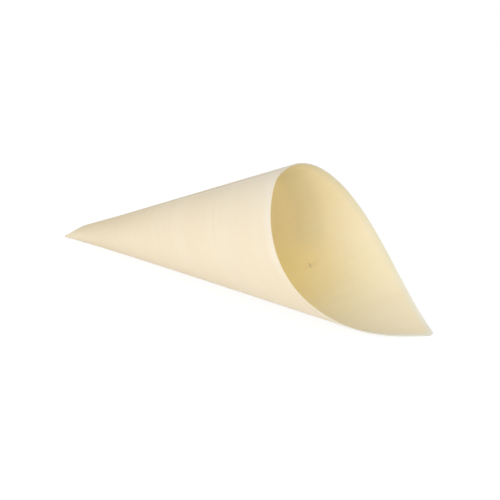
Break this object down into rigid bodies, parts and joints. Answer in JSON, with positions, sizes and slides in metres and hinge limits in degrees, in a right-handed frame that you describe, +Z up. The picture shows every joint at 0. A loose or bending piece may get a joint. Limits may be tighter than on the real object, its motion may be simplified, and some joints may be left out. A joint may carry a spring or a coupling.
{
  "type": "wooden food cone",
  "caption": "Disposable food cone rolled from a thin sheet of pale wood veneer, with a slanted mouth and a pointed lip, lying on its side.",
  "frame": {"origin": "on the table, under the middle of the cone's length and width as it lies", "axes": "+X from the tip to the pointed lip, +Z up from the table, and the outer flap comes over the -Y side and ends at the top"},
  "size_m": [0.1798, 0.0694, 0.0612],
  "materials": {
    "veneer": "smooth satin, unvarnished pale wood"
  },
  "bodies": {
    "root": {"rolled_veneer": "veneer"}
  },
  "joints": []
}
